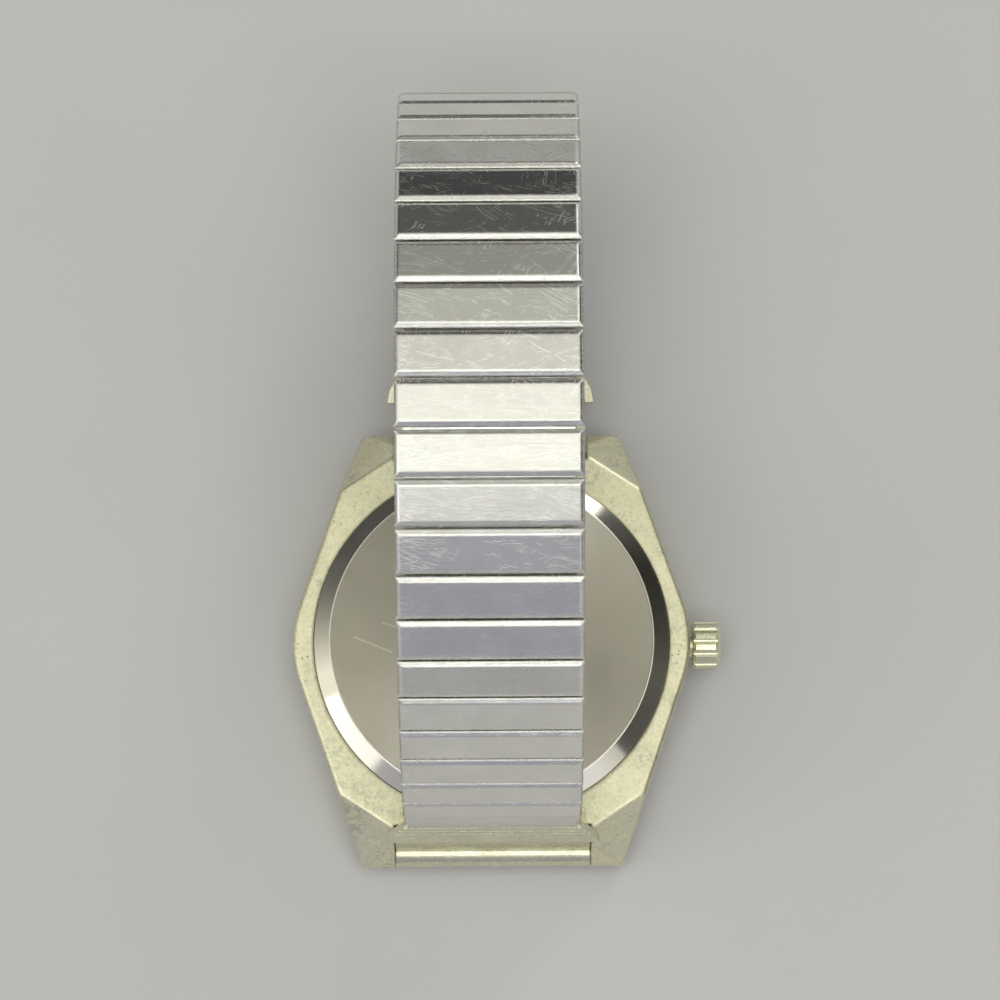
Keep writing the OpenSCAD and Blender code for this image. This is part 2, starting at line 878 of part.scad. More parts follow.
module minute_wheel() {
    color(brass)
    translate([minute_at[0], minute_at[1], 0])
    difference() {
        union() {
            translate([0, 0, minute_wheel_z])
            wheel(minute_n, cannon_m, bearing(minute_at, [0, 0]) + 180 / minute_n, 0.2);
            translate([0, 0, hour_wheel_z])
            toothed(minute_pinion_n, hour_m, bearing(minute_at, [0, 0]), minute_wheel_z - hour_wheel_z);
        }
        translate([0, 0, dial_back - 1])
        cylinder(r = 0.25 + run, h = 3);
    }
}

module hour_wheel() {
    color(brass)
    difference() {
        union() {
            translate([0, 0, hour_wheel_z])
            wheel(hour_n, hour_m, bearing([0, 0], minute_at) + 180 / hour_n, 0.2);
            translate([0, 0, hour_hand_z])
            cylinder(r = hour_pipe_out, h = hour_wheel_z - hour_hand_z);
        }
        translate([0, 0, hour_hand_z - 1])
        cylinder(r = hour_pipe_in, h = 4);
    }
}

module movement_ring() {
    ring_r = bore_r - 0.04;
    color("#f2f0e8")
    difference() {
        translate([0, 0, dial_back + fit])
        ring(plate_r + 0.05, ring_r, cover_under - dial_back - 2 * fit);
        translate([0, 0, stem_z])
        bar_x(0.9, plate_r - 1, ring_r + 1);
    }
}

module plate_posts() {
    for (p = pillars)
        translate([p[0], p[1], plate_top - 0.1])
        cylinder(r = post_r, h = train_room + 0.1);
    for (p = board_posts)
        translate([p[0], p[1], plate_top - 0.1])
        cylinder(r = post_r, h = train_room + 0.1);
    translate([clip_post[0], clip_post[1], plate_top - 0.1])
    cylinder(r = post_r, h = clip_z - plate_top + 0.1);
    for (s = [-1, 1])
        translate([coil_at[0] + s * pad_x, coil_at[1], plate_top - 0.1])
        cylinder(r = post_r, h = stator_z - plate_top + 0.1);
    translate([lever_pivot[0], lever_pivot[1], plate_top - 0.1])
    cylinder(r = pivot_r + 0.1, h = lever_t + 0.3);
    translate([minute_at[0], minute_at[1], hour_wheel_z])
    cylinder(r = 0.25, h = recess_z - hour_wheel_z + 0.1);
}

module screw_holes() {
    for (p = concat(pillars, board_posts))
        translate([p[0], p[1], bridge_z - 1.2])
        cylinder(r = screw_r, h = 2);
    translate([clip_post[0], clip_post[1], clip_z - 1.2])
    cylinder(r = screw_r, h = 2);
    for (s = [-1, 1])
        translate([coil_at[0] + s * pad_x, coil_at[1], stator_z - 0.8])
        cylinder(r = screw_r, h = 2);
}

module main_plate() {
    color("#cfcfc8")
    difference() {
        union() {
            difference() {
                translate([0, 0, plate_z])
                cylinder(r = plate_r, h = plate_top - plate_z);
                translate([0, 0, dial_back - 1]) {
                    cylinder(r = hour_n * hour_m / 2 + 0.35, h = motion_room + 1);
                    translate(minute_at)
                    cylinder(r = minute_n * cannon_m / 2 + 0.35, h = motion_room + 1);
                }
                translate([clutch_x - 0.6, -1, dial_back - 1])
                cube([square_x - clutch_x + 0.2, 2, plate_t + 2]);
                translate([battery_at[0], battery_at[1], battery_z])
                cylinder(r = battery_r + 0.08, h = 5);
                translate([coil_at[0] - coil_l / 2 - 0.3, coil_at[1] - coil_r - 0.2, coil_z - coil_r - 0.1])
                cube([coil_l + 0.6, 2 * coil_r + 0.4, 5]);
            }
            plate_posts();
        }
        screw_holes();
        translate([0, 0, dial_back])
        cylinder(r = pipe_out + run, h = 4);
        for (p = [third_at, fifth_at, rotor_at])
            translate([p[0], p[1], plate_top - 0.35])
            cylinder(r = pivot_r + run, h = 1);
        for (p = [[-10, 5.5], [10, -2.6]])
            translate([p[0], p[1], dial_back - 1])
            cylinder(r = 0.37, h = 1.9);
        translate([0, 0, stem_z])
        bar_x(stem_r + run, square_x - 1, plate_r + 1);
        translate([groove_x - 0.4, -0.4, stem_z])
        cube([crown_pull + 0.8, 0.8, plate_top]);
    }
}

module train_bridge() {
    color("#cfcfc8")
    difference() {
        translate([0, 0, bridge_z])
        linear_extrude(bridge_t) {
            strip(pillars[0], [0, 0], 0.9);
            strip(pillars[1], fifth_at, 0.9);
            strip(fifth_at, [0, 0], 0.9);
            strip(fifth_at, rotor_at, 0.9);
            strip([0, 0], third_at, 0.9);
            strip(third_at, pillars[2], 0.9);
        }
        for (p = [[0, 0], third_at, fifth_at, rotor_at])
            translate([p[0], p[1], bridge_z - 1])
            cylinder(r = (p == [0, 0] ? seconds_r : pivot_r) + run, h = 1.3);
        for (p = pillars)
            translate([p[0], p[1], bridge_z - 1])
            cylinder(r = screw_r + fit, h = 3);
    }
}

module battery() {
    step = 0.5;
    color("#c4c4c0")
    translate([battery_at[0], battery_at[1], battery_z + fit]) {
        cylinder(r = battery_r - step, h = step);
        translate([0, 0, step])
        cylinder(r = battery_r, h = battery_h - step - fit);
    }
}

module battery_clip() {
    color(brass)
    translate([0, 0, clip_z])
    difference() {
        linear_extrude(clip_t) {
            strip(clip_post, battery_at, 0.8);
            translate(battery_at)
            circle(1.4);
        }
        translate([clip_post[0], clip_post[1], -1])
        cylinder(r = screw_r + fit, h = 3);
    }
}

module circuit_board() {
    board_t = 0.2;
    color("#2f6b45")
    difference() {
        translate([0, 0, bridge_z])
        linear_extrude(board_t)
        intersection() {
            circle(plate_r - 0.3);
            polygon([[-1, -12.6], [-1, -8.3], [4.2, -6.2], [7.4, -4], [13, -4], [13, -12.6]]);
        }
        for (p = board_posts)
            translate([p[0], p[1], bridge_z - 1])
            cylinder(r = screw_r + fit, h = 3);
    }
    color("#c4c4c0")
    translate([5.2, -8, bridge_z - 0.62])
    rotate(-20)
    bar_x(0.6, -1.2, 3);
    color("#202024")
    translate([-0.3, -10.6, bridge_z - 0.6])
    cube([1.9, 1.9, 0.6]);
}

module coil() {
    flange = 0.4;
    color("#b5652e")
    translate([coil_at[0], coil_at[1], coil_z])
    difference() {
        bar_x(coil_r - 0.12, -coil_l / 2 + flange, coil_l / 2 - flange);
        translate([-coil_l, -0.5, -core_t / 2])
        cube([2 * coil_l, 1, core_t]);
    }
    color("#30343a")
    translate([coil_at[0], coil_at[1], coil_z])
    difference() {
        union() {
            bar_x(coil_r, -coil_l / 2, -coil_l / 2 + flange);
            bar_x(coil_r, coil_l / 2 - flange, coil_l / 2);
        }
        translate([-coil_l, -0.5, -core_t / 2])
        cube([2 * coil_l, 1, core_t]);
    }
    color(steel)
    translate([coil_at[0], coil_at[1], coil_z - core_t / 2])
    difference() {
        linear_extrude(core_t) {
            translate([-pad_x, -0.5])
            square([2 * pad_x, 1]);
            for (s = [-1, 1])
                translate([s * pad_x, 0])
                circle(0.8);
        }
        for (s = [-1, 1])
            translate([s * pad_x, 0, -1])
            cylinder(r = screw_r + fit, h = 3);
    }
}

module stator() {
    ends = [for (s = [-1, 1]) [coil_at[0] + s * pad_x, coil_at[1]]];
    color(steel)
    translate([0, 0, stator_z])
    difference() {
        linear_extrude(stator_t) {
            translate(rotor_at)
            circle(1.9);
            for (e = ends) {
                bend = [e[0], e[1] - 2.2];
                strip(rotor_at, bend, 0.7);
                strip(bend, e, 0.7);
            }
        }
        translate([rotor_at[0], rotor_at[1], -1])
        cylinder(r = rotor_r + 0.2, h = 3);
        for (e = ends)
            translate([e[0], e[1], -1])
            cylinder(r = screw_r + fit, h = 3);
    }
}

// A slotted screw whose head's underside is at z
module screw(p, z, shank) {
    translate([p[0], p[1], z])
    difference() {
        union() {
            cylinder(r = screw_head_r, h = screw_head_t);
            translate([0, 0, -shank])
            cylinder(r = screw_r - fit / 2, h = shank + 0.1);
        }
        translate([-1, -0.07, screw_head_t - 0.1])
        cube([2, 0.14, 1]);
    }
}

module screws() {
    color("#d0d0cc") {
        for (p = pillars)
            screw(p, bridge_top, bridge_t + 1);
        for (p = board_posts)
            screw(p, bridge_z + 0.2, 1.1);
        screw(clip_post, clip_z + clip_t, 1);
        for (s = [-1, 1])
            screw([coil_at[0] + s * pad_x, coil_at[1]], coil_z + core_t / 2, 1.2);
    }
}

// Each bar is a tube with a shouldered pin at both ends
module spring_bars() {
    tube_half = lug_gap / 2 - 0.35;
    color(steel)
    both_sides([0, 1, 0])
    translate([0, bar_y, bar_z]) {
        difference() {
            bar_x(bar_r, -tube_half, tube_half);
            bar_x(bar_bore_r, -tube_half - bar_r, tube_half + bar_r);
        }
        both_sides([1, 0, 0]) {
            bar_x(bar_bore_r - fit, tube_half - pin_in, tube_half + 0.2);
            bar_x(bar_pin_r, tube_half + 0.2, lug_gap / 2 + lug_hole_depth - 0.3);
        }
    }
}

// Cap of a link: a hollow sheet cover with a bevelled border and open ends
module cap() {
    half = cap_l / 2;
    edge = band_w / 2;
    low = half_t - cap_bevel_h;
    inner = half - cap_wall;
    difference() {
        intersection() {
            along_x([
                [-half, plane_gap], [half, plane_gap], [half, low],
                [half - cap_bevel_w, half_t], [-half + cap_bevel_w, half_t], [-half, low]
            ], -edge, edge);
            along_y([
                [-edge, plane_gap], [edge, plane_gap], [edge, low],
                [edge - cap_bevel_w, half_t], [-edge + cap_bevel_w, half_t], [-edge, low]
            ], cap_l + 1);
        }
        translate([-band_w, -inner, cap_floor])
        cube([2 * band_w, 2 * inner, cap_roof - cap_floor]);
        both_sides([1, 0, 0])
        translate([sleeve_w / 2 + 0.02, -inner, 0])
        cube([band_w, 2 * inner, cap_floor + 0.05]);
    }
}

// Lower sleeve, which lies half under one cap and half under the next
module sleeve() {
    half = sleeve_l / 2;
    inner = half - sleeve_wall;
    round_off = 0.25;
    difference() {
        along_x([
            [-half, -plane_gap], [half, -plane_gap], [half, -half_t + round_off],
            [half - round_off, -half_t], [-half + round_off, -half_t], [-half, -half_t + round_off]
        ], -sleeve_w / 2, sleeve_w / 2);
        translate([-band_w, -inner, sleeve_floor])
        cube([2 * band_w, 2 * inner, sleeve_roof - sleeve_floor]);
    }
}

// Leaf spring: a bowed strip between a sleeve's floor and its roof
module leaf(floor_w, roof_w) {
    rise = roof_w - floor_w - leaf_t - 0.04;
    function bow(x) = floor_w + 0.02 + rise * (1 - pow(x / leaf_half, 2));
    xs = [for (k = [-6 : 6]) k * leaf_half / 6];
    along_y([
        for (x = xs) [x, bow(x)],
        for (k = [len(xs) - 1 : -1 : 0]) [xs[k], bow(xs[k]) + leaf_t]
    ], leaf_w);
}

// Leg of a staple, at a place in the frame of the sleeve that holds it
module leg(f, u, w) {
    in_frame(f)
    translate([leg_inner, u - staple_w / 2, w - staple_t / 2])
    cube([staple_leg + staple_bridge_t, staple_w, staple_t]);
}

// A staple's legs lie in an upper and a lower sleeve, and its bridge passes outside the lower one.
leg_upper_w = (cap_floor + cap_roof) / 2;
leg_lower_w = (sleeve_roof + sleeve_floor) / 2;
leg_lower_u = sleeve_l / 2 - sleeve_wall - staple_w / 2 - 0.12;
fixed_upper_u = cap_l / 2 - cap_wall - staple_w / 2 - 0.25;
fixed_lower_u = -leg_lower_u + 0.4;
slide_upper_u = -cap_l / 2 + cap_wall + gap_travel + staple_w / 2 + 0.1;
slide_upper_w = cap_roof - staple_t / 2 - 0.04;

// Holds cap and lower sleeve of one link together
module fixed_staple(cap_f, sleeve_f) {
    u = staple_w / 2;
    w = staple_t / 2;
    leg(cap_f, fixed_upper_u, leg_upper_w);
    leg(sleeve_f, fixed_lower_u, leg_lower_w);
    along_x([
        at(sleeve_f, fixed_lower_u - u, leg_lower_w - w),
        at(sleeve_f, fixed_lower_u + u, leg_lower_w - w),
        at(cap_f, fixed_upper_u + u, leg_upper_w + w),
        at(cap_f, fixed_upper_u - u, leg_upper_w + w)
    ], staple_x, staple_x + staple_bridge_t);
}

// Couples a lower sleeve to the next cap, in which its upper leg slides
module slide_staple(sleeve_f, next_f) {
    u = staple_w / 2;
    w = staple_t / 2;
    leg(next_f, slide_upper_u, slide_upper_w);
    leg(sleeve_f, leg_lower_u, leg_lower_w);
    along_x([
        at(sleeve_f, leg_lower_u - u, leg_lower_w - w),
        at(sleeve_f, leg_lower_u + u, leg_lower_w - w),
        at(next_f, slide_upper_u + u, -plane_gap),
        at(next_f, slide_upper_u + u, slide_upper_w + w),
        at(next_f, slide_upper_u - u, slide_upper_w + w),
        at(next_f, slide_upper_u - u, plane_gap - 0.08),
        at(sleeve_f, leg_lower_u - u, leg_lower_w + w)
    ], staple_x, staple_x + staple_bridge_t);
}

module cap_with_leaf(f) {
    in_frame(f) {
        color(cap_colour)
        cap();
        color(dark_steel)
        leaf(cap_floor, cap_roof);
    }
}

module sleeve_with_leaf(f) {
    in_frame(f) {
        color(steel)
        sleeve();
        color(dark_steel)
        leaf(sleeve_floor, sleeve_roof);
    }
}

module link(i) {
    cap_with_leaf(cap_frame(i));
    sleeve_with_leaf(sleeve_frame(i));
    color(dark_steel)
    both_sides([1, 0, 0]) {
        fixed_staple(cap_frame(i), sleeve_frame(i));
        slide_staple(sleeve_frame(i), cap_frame(i + 1));
    }
}

// End piece in its own frame: local Y runs from the spring bar to the caps, local Z away from the wrist
module end_plate() {
    top = 0.12;
    under = -1.2;
    tail = -end_drop - half_t;
    neck_s = 5.9;
    barrel_w = lug_gap - 2 * barrel_play;
    difference() {
        union() {
            bar_x(barrel_r, -barrel_w / 2, barrel_w / 2);
            intersection() {
                along_x([
                    [0.3, top], [end_l, -end_drop], [end_l, tail - half_t],
                    [neck_s + 0.7, tail - half_t], [neck_s, under], [0.3, under]
                ], -ear_w, ear_w);
                translate([0, 0, -5])
                linear_extrude(10)
                polygon([
                    [-barrel_w / 2, 0], [-barrel_w / 2, ear_s], [-band_w / 2, end_l],
                    [band_w / 2, end_l], [barrel_w / 2, ear_s], [barrel_w / 2, 0]
                ]);
            }
            intersection() {
                along_x([
                    [ear_s, top - 0.45], [ear_s + 0.25, top], [end_l, -end_drop],
                    [end_l, -end_drop - 0.7], [ear_s, top - 0.7]
                ], -ear_w, ear_w);
                translate([0, 0, -5])
                linear_extrude(10)
                polygon([
                    [-ear_w / 2, ear_s], [-ear_w / 2 + 0.2, ear_s + 1.2], [-band_w / 2, end_l],
                    [band_w / 2, end_l], [ear_w / 2 - 0.2, ear_s + 1.2], [ear_w / 2, ear_s]
                ]);
            }
            translate([-sleeve_w / 2, end_l - 1, tail - half_t])
            cube([sleeve_w, 1 + sleeve_l / 2, half_t - plane_gap]);
        }
        bar_x(bar_r + bar_play, -ear_w, ear_w);
        translate([-band_w, end_l - sleeve_l / 2 + sleeve_wall, tail - half_t + sheet_t])
        cube([2 * band_w, sleeve_l - 2 * sleeve_wall, half_t - plane_gap - 2 * sheet_t]);
        for (s = [end_l - 0.9, end_l - 1.6])
            translate([-band_w, s, -end_drop - 0.02])
            cube([2 * band_w, 0.16, 1]);
    }
}

module band_end_12() {
    root_f = [joint[0], end_lean];
    color(steel)
    in_frame([bar_12, end_lean])
    end_plate();
    color(dark_steel)
    both_sides([1, 0, 0])
    slide_staple(root_f, cap_frame(1));
}

module band_end_6() {
    root_f = [joint[cap_count], 180];
    color(steel)
    in_frame([bar_6, 180])
    mirror([0, 1, 0])
    end_plate();
    cap_with_leaf(cap_frame(cap_count));
    color(dark_steel)
    both_sides([1, 0, 0])
    fixed_staple(cap_frame(cap_count), root_f);
}

case_body();
case_back();
gaskets();
crystal();
crown();
dial();
hour_hand();
minute_hand();
second_hand();
movement_ring();
main_plate();
train_bridge();
battery();
battery_clip();
circuit_board();
coil();
stator();
rotor();
fifth_wheel();
fourth_wheel();
third_wheel();
centre_wheel();
minute_wheel();
hour_wheel();
clutch_pinion();
setting_lever();
screws();
spring_bars();
band_end_12();
band_end_6();
for (i = [1 : cap_count - 1])
    link(i);
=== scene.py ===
"""Looks of a wristwatch on an expansion band: its materials, a floor, a sky, lamps and the camera.

Lengths are in metres, or in mm times MM, and a texture's scale is in features per metre. The watch lies on
its crystal: +Z is up and out of the case back, +X is towards the crown, +Y towards 6 o'clock.
"""
import json
import math

import bpy
from mathutils import Matrix, Vector

MM = 0.001
MICRON = 0.001 * MM

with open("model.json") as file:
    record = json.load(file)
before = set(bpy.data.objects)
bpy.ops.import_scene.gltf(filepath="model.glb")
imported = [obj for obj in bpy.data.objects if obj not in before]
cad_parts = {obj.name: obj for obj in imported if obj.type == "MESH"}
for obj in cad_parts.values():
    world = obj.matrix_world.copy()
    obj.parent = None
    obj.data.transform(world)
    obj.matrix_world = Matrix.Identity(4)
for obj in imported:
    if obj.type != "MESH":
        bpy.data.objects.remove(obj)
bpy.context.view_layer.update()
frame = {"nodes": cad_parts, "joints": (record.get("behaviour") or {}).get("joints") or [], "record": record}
nodes = frame["nodes"]

# The spring bar at 6 o'clock, on which the band's end piece swings; the bar at 12 is as far out the other way
swing = next(joint for joint in frame["joints"] if joint["name"] == "band_end_6_swing")
BAR_Y, BAR_Z = swing["pos_m"][1:]


# Node helpers

class Nodes:
    """A node tree under construction. A value is a number, a colour or another node's socket."""

    def __init__(self, tree):
        self.tree = tree

    def add(self, kind, **settings):
        """Adds a node."""
        node = self.tree.nodes.new(kind)
        for key, value in settings.items():
            setattr(node, key, value)
        return node

    def link(self, a, b):
        self.tree.links.new(a, b)

    def put(self, socket, value):
        if isinstance(value, bpy.types.NodeSocket):
            self.link(value, socket)
        elif socket.type == "RGBA":
            socket.default_value = (*value, 1)
        else:
            socket.default_value = value

    def math(self, operation, a, b=0.0, c=0.0, clamp=False):
        node = self.add("ShaderNodeMath", operation=operation, use_clamp=clamp)
        for i, value in enumerate((a, b, c)):
            self.put(node.inputs[i], value)
        return node.outputs[0]

    def xyz(self, vector):
        """The three coordinates of a vector."""
        node = self.add("ShaderNodeSeparateXYZ")
        self.link(vector, node.inputs[0])
        return tuple(node.outputs)

    def distance(self, a, b):
        """The length of the vector with coordinates a and b."""
        return self.math("SQRT", self.math("ADD", self.math("MULTIPLY", a, a), self.math("MULTIPLY", b, b)))

    def mix(self, factor, a, b, blend="MIX"):
        node = self.add("ShaderNodeMix", data_type="RGBA", blend_type=blend)
        self.put(node.inputs["Factor"], factor)
        colours = [socket for socket in node.inputs if socket.type == "RGBA"]
        self.put(colours[0], a)
        self.put(colours[1], b)
        return [socket for socket in node.outputs if socket.type == "RGBA"][0]

    def ramp(self, value, stops):
        """A colour ramp over 0 to 1; the first stop is at 0 and the last at 1."""
        node = self.add("ShaderNodeValToRGB")
        self.link(value, node.inputs[0])
        elements = node.color_ramp.elements
        elements[0].color = (*stops[0][1], 1)
        elements[1].color = (*stops[-1][1], 1)
        for place, colour in stops[1:-1]:
            elements.new(place).color = (*colour, 1)
        return node.outputs["Color"]


class Shader(Nodes):
    """A material under construction, with one Principled surface."""

    def __init__(self, name):
        self.name = name
        self.material = bpy.data.materials.new(name)
        self.material.use_nodes = True
        super().__init__(self.material.node_tree)
        self.tree.nodes.clear()
        output = self.add("ShaderNodeOutputMaterial")
        self.bsdf = self.add("ShaderNodeBsdfPrincipled")
        self.link(self.bsdf.outputs["BSDF"], output.inputs["Surface"])
        self.coord = self.add("ShaderNodeTexCoord").outputs["Object"]

    def scaled(self, scale, rotate=(0, 0, 0)):
        """The object's coordinates, scaled by one number or by one for each axis, then turned."""
        node = self.add("ShaderNodeMapping")
        self.link(self.coord, node.inputs["Vector"])
        node.inputs["Scale"].default_value = scale if isinstance(scale, tuple) else (scale, scale, scale)
        node.inputs["Rotation"].default_value = rotate
        return node.outputs["Vector"]

    def noise(self, scale, detail=3.0, rough=0.55, rotate=(0, 0, 0)):
        node = self.add("ShaderNodeTexNoise")
        self.link(self.scaled(scale, rotate), node.inputs["Vector"])
        node.inputs["Scale"].default_value = 1.0
        node.inputs["Detail"].default_value = detail
        node.inputs["Roughness"].default_value = rough
        return node.outputs["Fac"]

    def stripes(self, value, detail, scale=1.0):
        """Noise that changes along one value only."""
        node = self.add("ShaderNodeTexNoise", noise_dimensions="1D")
        self.link(value, node.inputs["W"])
        node.inputs["Scale"].default_value = scale
        node.inputs["Detail"].default_value = detail
        return node.outputs["Fac"]

    def cells(self, scale, feature="F1", randomness=1.0):
        node = self.add("ShaderNodeTexVoronoi", feature=feature)
        self.link(self.scaled(scale), node.inputs["Vector"])
        node.inputs["Scale"].default_value = 1.0
        node.inputs["Randomness"].default_value = randomness
        return node.outputs["Distance"]

    def remap(self, value, a, b, c, d):
        """Maps the range from a to b onto the one from c to d, and never leaves it."""
        node = self.add("ShaderNodeMapRange")
        self.put(node.inputs["Value"], value)
        for key, end in zip(("From Min", "From Max", "To Min", "To Max"), (a, b, c, d)):
            node.inputs[key].default_value = end
        return node.outputs["Result"]

    def rounded(self, radius):
        node = self.add("ShaderNodeBevel", samples=6)
        node.inputs["Radius"].default_value = radius
        return node.outputs["Normal"]

    def bump(self, height, distance, strength=1.0, normal=None):
        node = self.add("ShaderNodeBump")
        node.inputs["Strength"].default_value = strength
        node.inputs["Distance"].default_value = distance
        self.link(height, node.inputs["Height"])
        if normal is not None:
            self.link(normal, node.inputs["Normal"])
        return node.outputs["Normal"]

    def set(self, **values):
        for key, value in values.items():
            self.put(self.bsdf.inputs[key.replace("_", " ")], value)
        return self

    def fed_by(self, key):
        """The socket that feeds an input of the surface."""
        return self.bsdf.inputs[key].links[0].from_socket

    def two_tone(self, mask, colour):
        """Gives the surface a second colour where mask is 1."""
        self.set(Base_Color=self.mix(mask, self.fed_by("Base Color"), colour))


# Finishes

# Hairline scratches run across these directions, so most of them lie nearly along X
SCRATCH_WAYS = ((0.25, 0.9, 0.7), (0.48, 0.8, 0.65), (-0.20, 0.85, 0.75), (0.04, 0.8, 0.8), (-0.70, 0.6, 0.5))
SCRATCH_BEND = 0.9 * MM
BEND_SCALE = 260
PATCH_SCALE = (420, 760, 760)
# The band's extra scratches grow from nothing at the first distance off its middle to full at the second
FEW_TO, MOST_FROM = 3.0 * MM, 7.6 * MM

# Tarnish: fine lumps, and specks that gather in stained areas
LUMP_SCALE, SPECK_SCALE, STAIN_SCALE = 3600, 1500, 210
# Corrosion pits, which gather in areas of their own, and their depth in microns
PIT_SCALE, PIT_AREA_SCALE = 2300, 480
PIT_DEPTH = 14.0
# How much of a metal's dark tone is left there
LUMP_TONE = (0.6, 0.6, 0.6)
STAIN_TONE = (0.55, 0.60, 0.62)
PIT_TONE = (0.4, 0.4, 0.4)


def hairlines(s, spacing, ends=0.0):
    """Slightly bent random scratches: 0 on the bare surface, 1 in a scratch.

    spacing is in metres, and ends adds more scratches towards the edges of the band.
    """
    random = s.add("ShaderNodeObjectInfo").outputs["Random"]
    more = s.remap(s.math("ABSOLUTE", s.xyz(s.coord)[0]), FEW_TO, MOST_FROM, 0.0, ends)
    bend = s.math("MULTIPLY", s.noise(BEND_SCALE, 1.0, 0.5), SCRATCH_BEND / spacing)
    total = None
    for k, way in enumerate(SCRATCH_WAYS):
        dot = s.add("ShaderNodeVectorMath", operation="DOT_PRODUCT")
        s.link(s.coord, dot.inputs[0])
        dot.inputs[1].default_value = way
        # Each object has scratches of its own
        own_start = s.math("MULTIPLY", random, 57.0 + 13 * k)
        across = s.math("MULTIPLY_ADD", dot.outputs["Value"], 1.0 / spacing, own_start)
        thin = s.remap(s.stripes(s.math("ADD", across, bend), 1.0), 0.66, 0.74, 0.0, 1.0)
        patch = s.math("ADD", s.noise(PATCH_SCALE, 3.0, 0.6, (0, 0, 0.3 * k)), more)
        mark = s.math("MULTIPLY", thin, s.remap(patch, 0.54, 0.60, 0.0, 1.0), clamp=True)
        total = mark if total is None else s.math("MAXIMUM", total, mark)
    return total


def shade(colour, factors):
    """The colour with its red, green and blue each times a factor."""
    return tuple(channel * factor for channel, factor in zip(colour, factors))


def metal(name, colour, dark, rough, grain=2600, grain_height=0.4, edge=0.05, scratch=0.0, spacing=0.05,
          depth=1.6, ends=0.0, pits=0.0, mottle=0.0, worn=0.0, blotch=350):
    """Metal with a grain, clouds of tarnish from colour to dark, rounded edges, hairline scratches and pits.

    edge and spacing are in mm, and grain_height, depth and mottle in microns. grain and blotch are texture
    scales, and scratch, ends, pits and worn are strengths.
    """
    s = Shader(name)
    cloud = s.noise(blotch, 5.0, 0.6)
    fine = s.noise(grain, 2.0, 0.5)
    tint = s.mix(s.remap(cloud, 0.32, 0.68, 0.0, 1.0), colour, dark)
    height = s.math("MULTIPLY", fine, grain_height)
    gloss = s.math("ADD", s.remap(cloud, 0.3, 0.7, rough * 0.88, rough * 1.14),
                   s.remap(fine, 0.3, 0.7, -0.02, 0.02))
    if mottle:
        lumps = s.noise(LUMP_SCALE, 4.0, 0.62)
        height = s.math("ADD", height, s.math("MULTIPLY", lumps, mottle))
        tint = s.mix(s.remap(lumps, 0.60, 0.28, 0.0, 0.45), tint, shade(dark, LUMP_TONE))
    if worn:
        specks = s.remap(s.noise(SPECK_SCALE, 5.0, 0.65), 0.47, 0.60, 0.0, 1.0)
        area = s.remap(s.noise(STAIN_SCALE, 3.0, 0.55), 0.46, 0.60, 0.0, worn)
        stain = s.math("MULTIPLY", specks, area, clamp=True)
        tint = s.mix(stain, tint, shade(dark, STAIN_TONE))
    if pits:
        holes = s.remap(s.cells(PIT_SCALE), 0.12, 0.34, 1.0, 0.0)
        area = s.remap(s.noise(PIT_AREA_SCALE, 4.0, 0.6), 0.50, 0.66, 0.0, pits)
        spot = s.math("MULTIPLY", holes, area)
        height = s.math("SUBTRACT", height, s.math("MULTIPLY", spot, PIT_DEPTH))
        tint = s.mix(s.math("MULTIPLY", spot, 0.75), tint, shade(dark, PIT_TONE))
        gloss = s.math("ADD", gloss, s.math("MULTIPLY", spot, 0.2))
    if scratch:
        marks = s.math("MULTIPLY", hairlines(s, spacing * MM, ends), scratch)
        height = s.math("SUBTRACT", height, s.math("MULTIPLY", marks, depth))
        gloss = s.math("ADD", gloss, s.math("MULTIPLY", marks, 0.25))
    normal = s.bump(height, MICRON, 1.0, s.rounded(edge * MM))
    return s.set(Base_Color=tint, Metallic=1.0, Roughness=gloss, Normal=normal)


def moulded(name, colour, dark, rough):
    """Plastic or rubber with a faint mould texture and cloudy colour."""
    s = Shader(name)
    cloud = s.noise(420, 4.0, 0.6)
    fine = s.noise(9000, 2.0, 0.5)
    tint = s.mix(s.remap(cloud, 0.3, 0.7, 0.0, 1.0), colour, dark)
    gloss = s.remap(cloud, 0.3, 0.7, rough * 0.9, rough * 1.15)
    return s.set(Base_Color=tint, Roughness=gloss, Normal=s.bump(fine, 4 * MICRON, 0.8, s.rounded(0.04 * MM)))


# Materials that one call describes

case_gold = metal("case_gold", (0.95, 0.92, 0.67), (0.86, 0.83, 0.60), 0.30, grain_height=2.0, edge=0.42,
                  scratch=0.5, spacing=0.16, pits=1.0, mottle=4.0, worn=0.6, blotch=260)
band_steel = metal("band_steel", (0.88, 0.87, 0.84), (0.79, 0.78, 0.75), 0.18, grain=(160, 9000, 9000),
                   grain_height=0.12, edge=0.30, scratch=0.6, spacing=0.055, depth=4.0, ends=0.06, blotch=260)
bare_steel = metal("bare_steel", (0.66, 0.66, 0.64), (0.56, 0.56, 0.54), 0.26, edge=0.02, blotch=900)
nickel = metal("nickel", (0.74, 0.72, 0.66), (0.66, 0.64, 0.59), 0.32, grain=(300, 9000, 9000), edge=0.03)
cell_steel = metal("cell_steel", (0.78, 0.78, 0.76), (0.68, 0.68, 0.66), 0.2, scratch=0.5)
stator_iron = metal("stator_iron", (0.52, 0.53, 0.55), (0.44, 0.45, 0.47), 0.36, edge=0.02)
rotor_magnet = metal("rotor_magnet", (0.28, 0.28, 0.29), (0.20, 0.20, 0.21), 0.45, edge=0.02)
wheel_brass = metal("wheel_brass", (0.85, 0.66, 0.32), (0.74, 0.56, 0.26), 0.24, edge=0.012, blotch=900)
clip_brass = metal("clip_brass", (0.82, 0.66, 0.36), (0.70, 0.56, 0.30), 0.26, edge=0.02)
hand_gold = metal("hand_gold", (0.86, 0.76, 0.48), (0.76, 0.66, 0.40), 0.16, edge=0.03, blotch=700)
seal_rubber = moulded("seal_rubber", (0.035, 0.035, 0.036), (0.02, 0.02, 0.021), 0.62)
